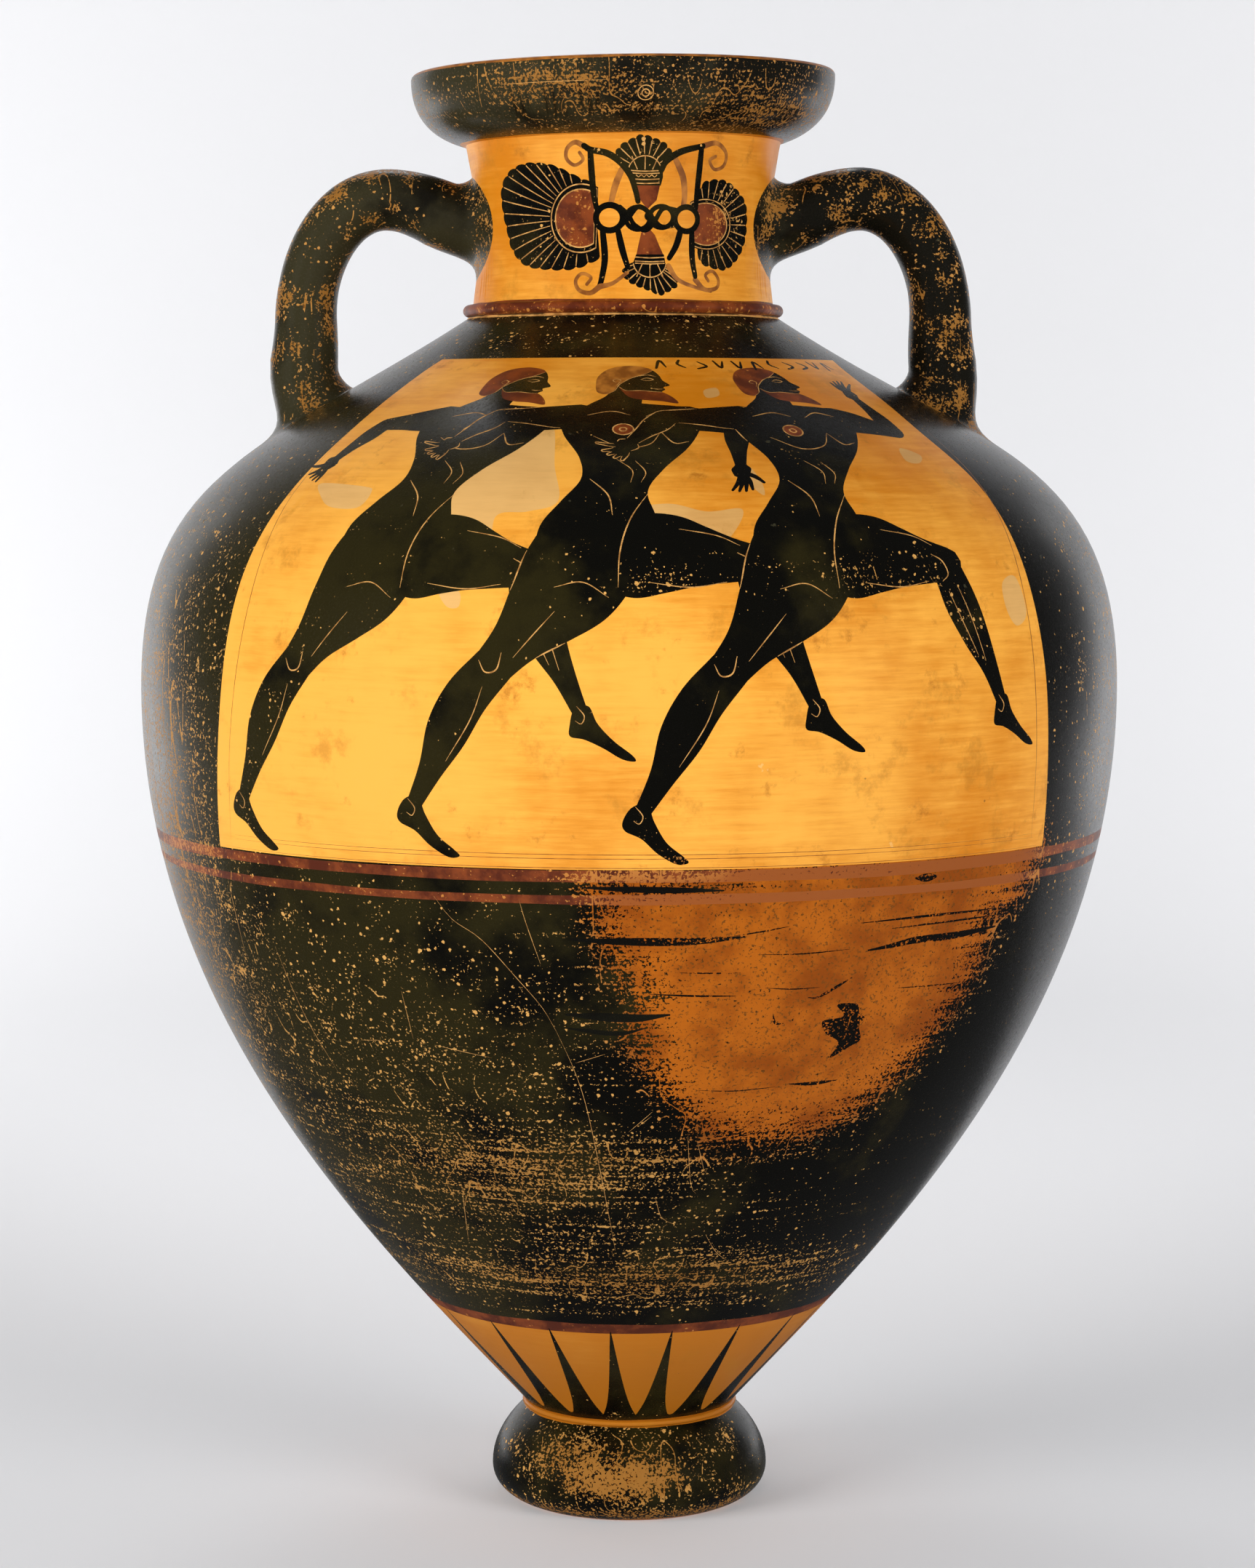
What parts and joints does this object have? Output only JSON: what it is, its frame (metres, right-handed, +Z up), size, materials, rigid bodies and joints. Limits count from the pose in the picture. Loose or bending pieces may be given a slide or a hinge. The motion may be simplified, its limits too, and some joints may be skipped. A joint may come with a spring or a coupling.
{
  "type": "panathenaic prize amphora",
  "caption": "Hollow fired-clay prize amphora with an egg-shaped body, round turned foot, short waisted neck, flaring mouth and arched handles.",
  "frame": {"origin": "centre of the foot's underside, on the surface it stands on", "axes": "+Z up along the jar's axis, -Y towards the side with the painted runners, X through the handles"},
  "size_m": [0.4208, 0.42, 0.6192],
  "materials": {
    "fired_clay": "worn black gloss over orange clay, satin"
  },
  "bodies": {
    "root": {"amphora": "fired_clay"}
  },
  "joints": []
}
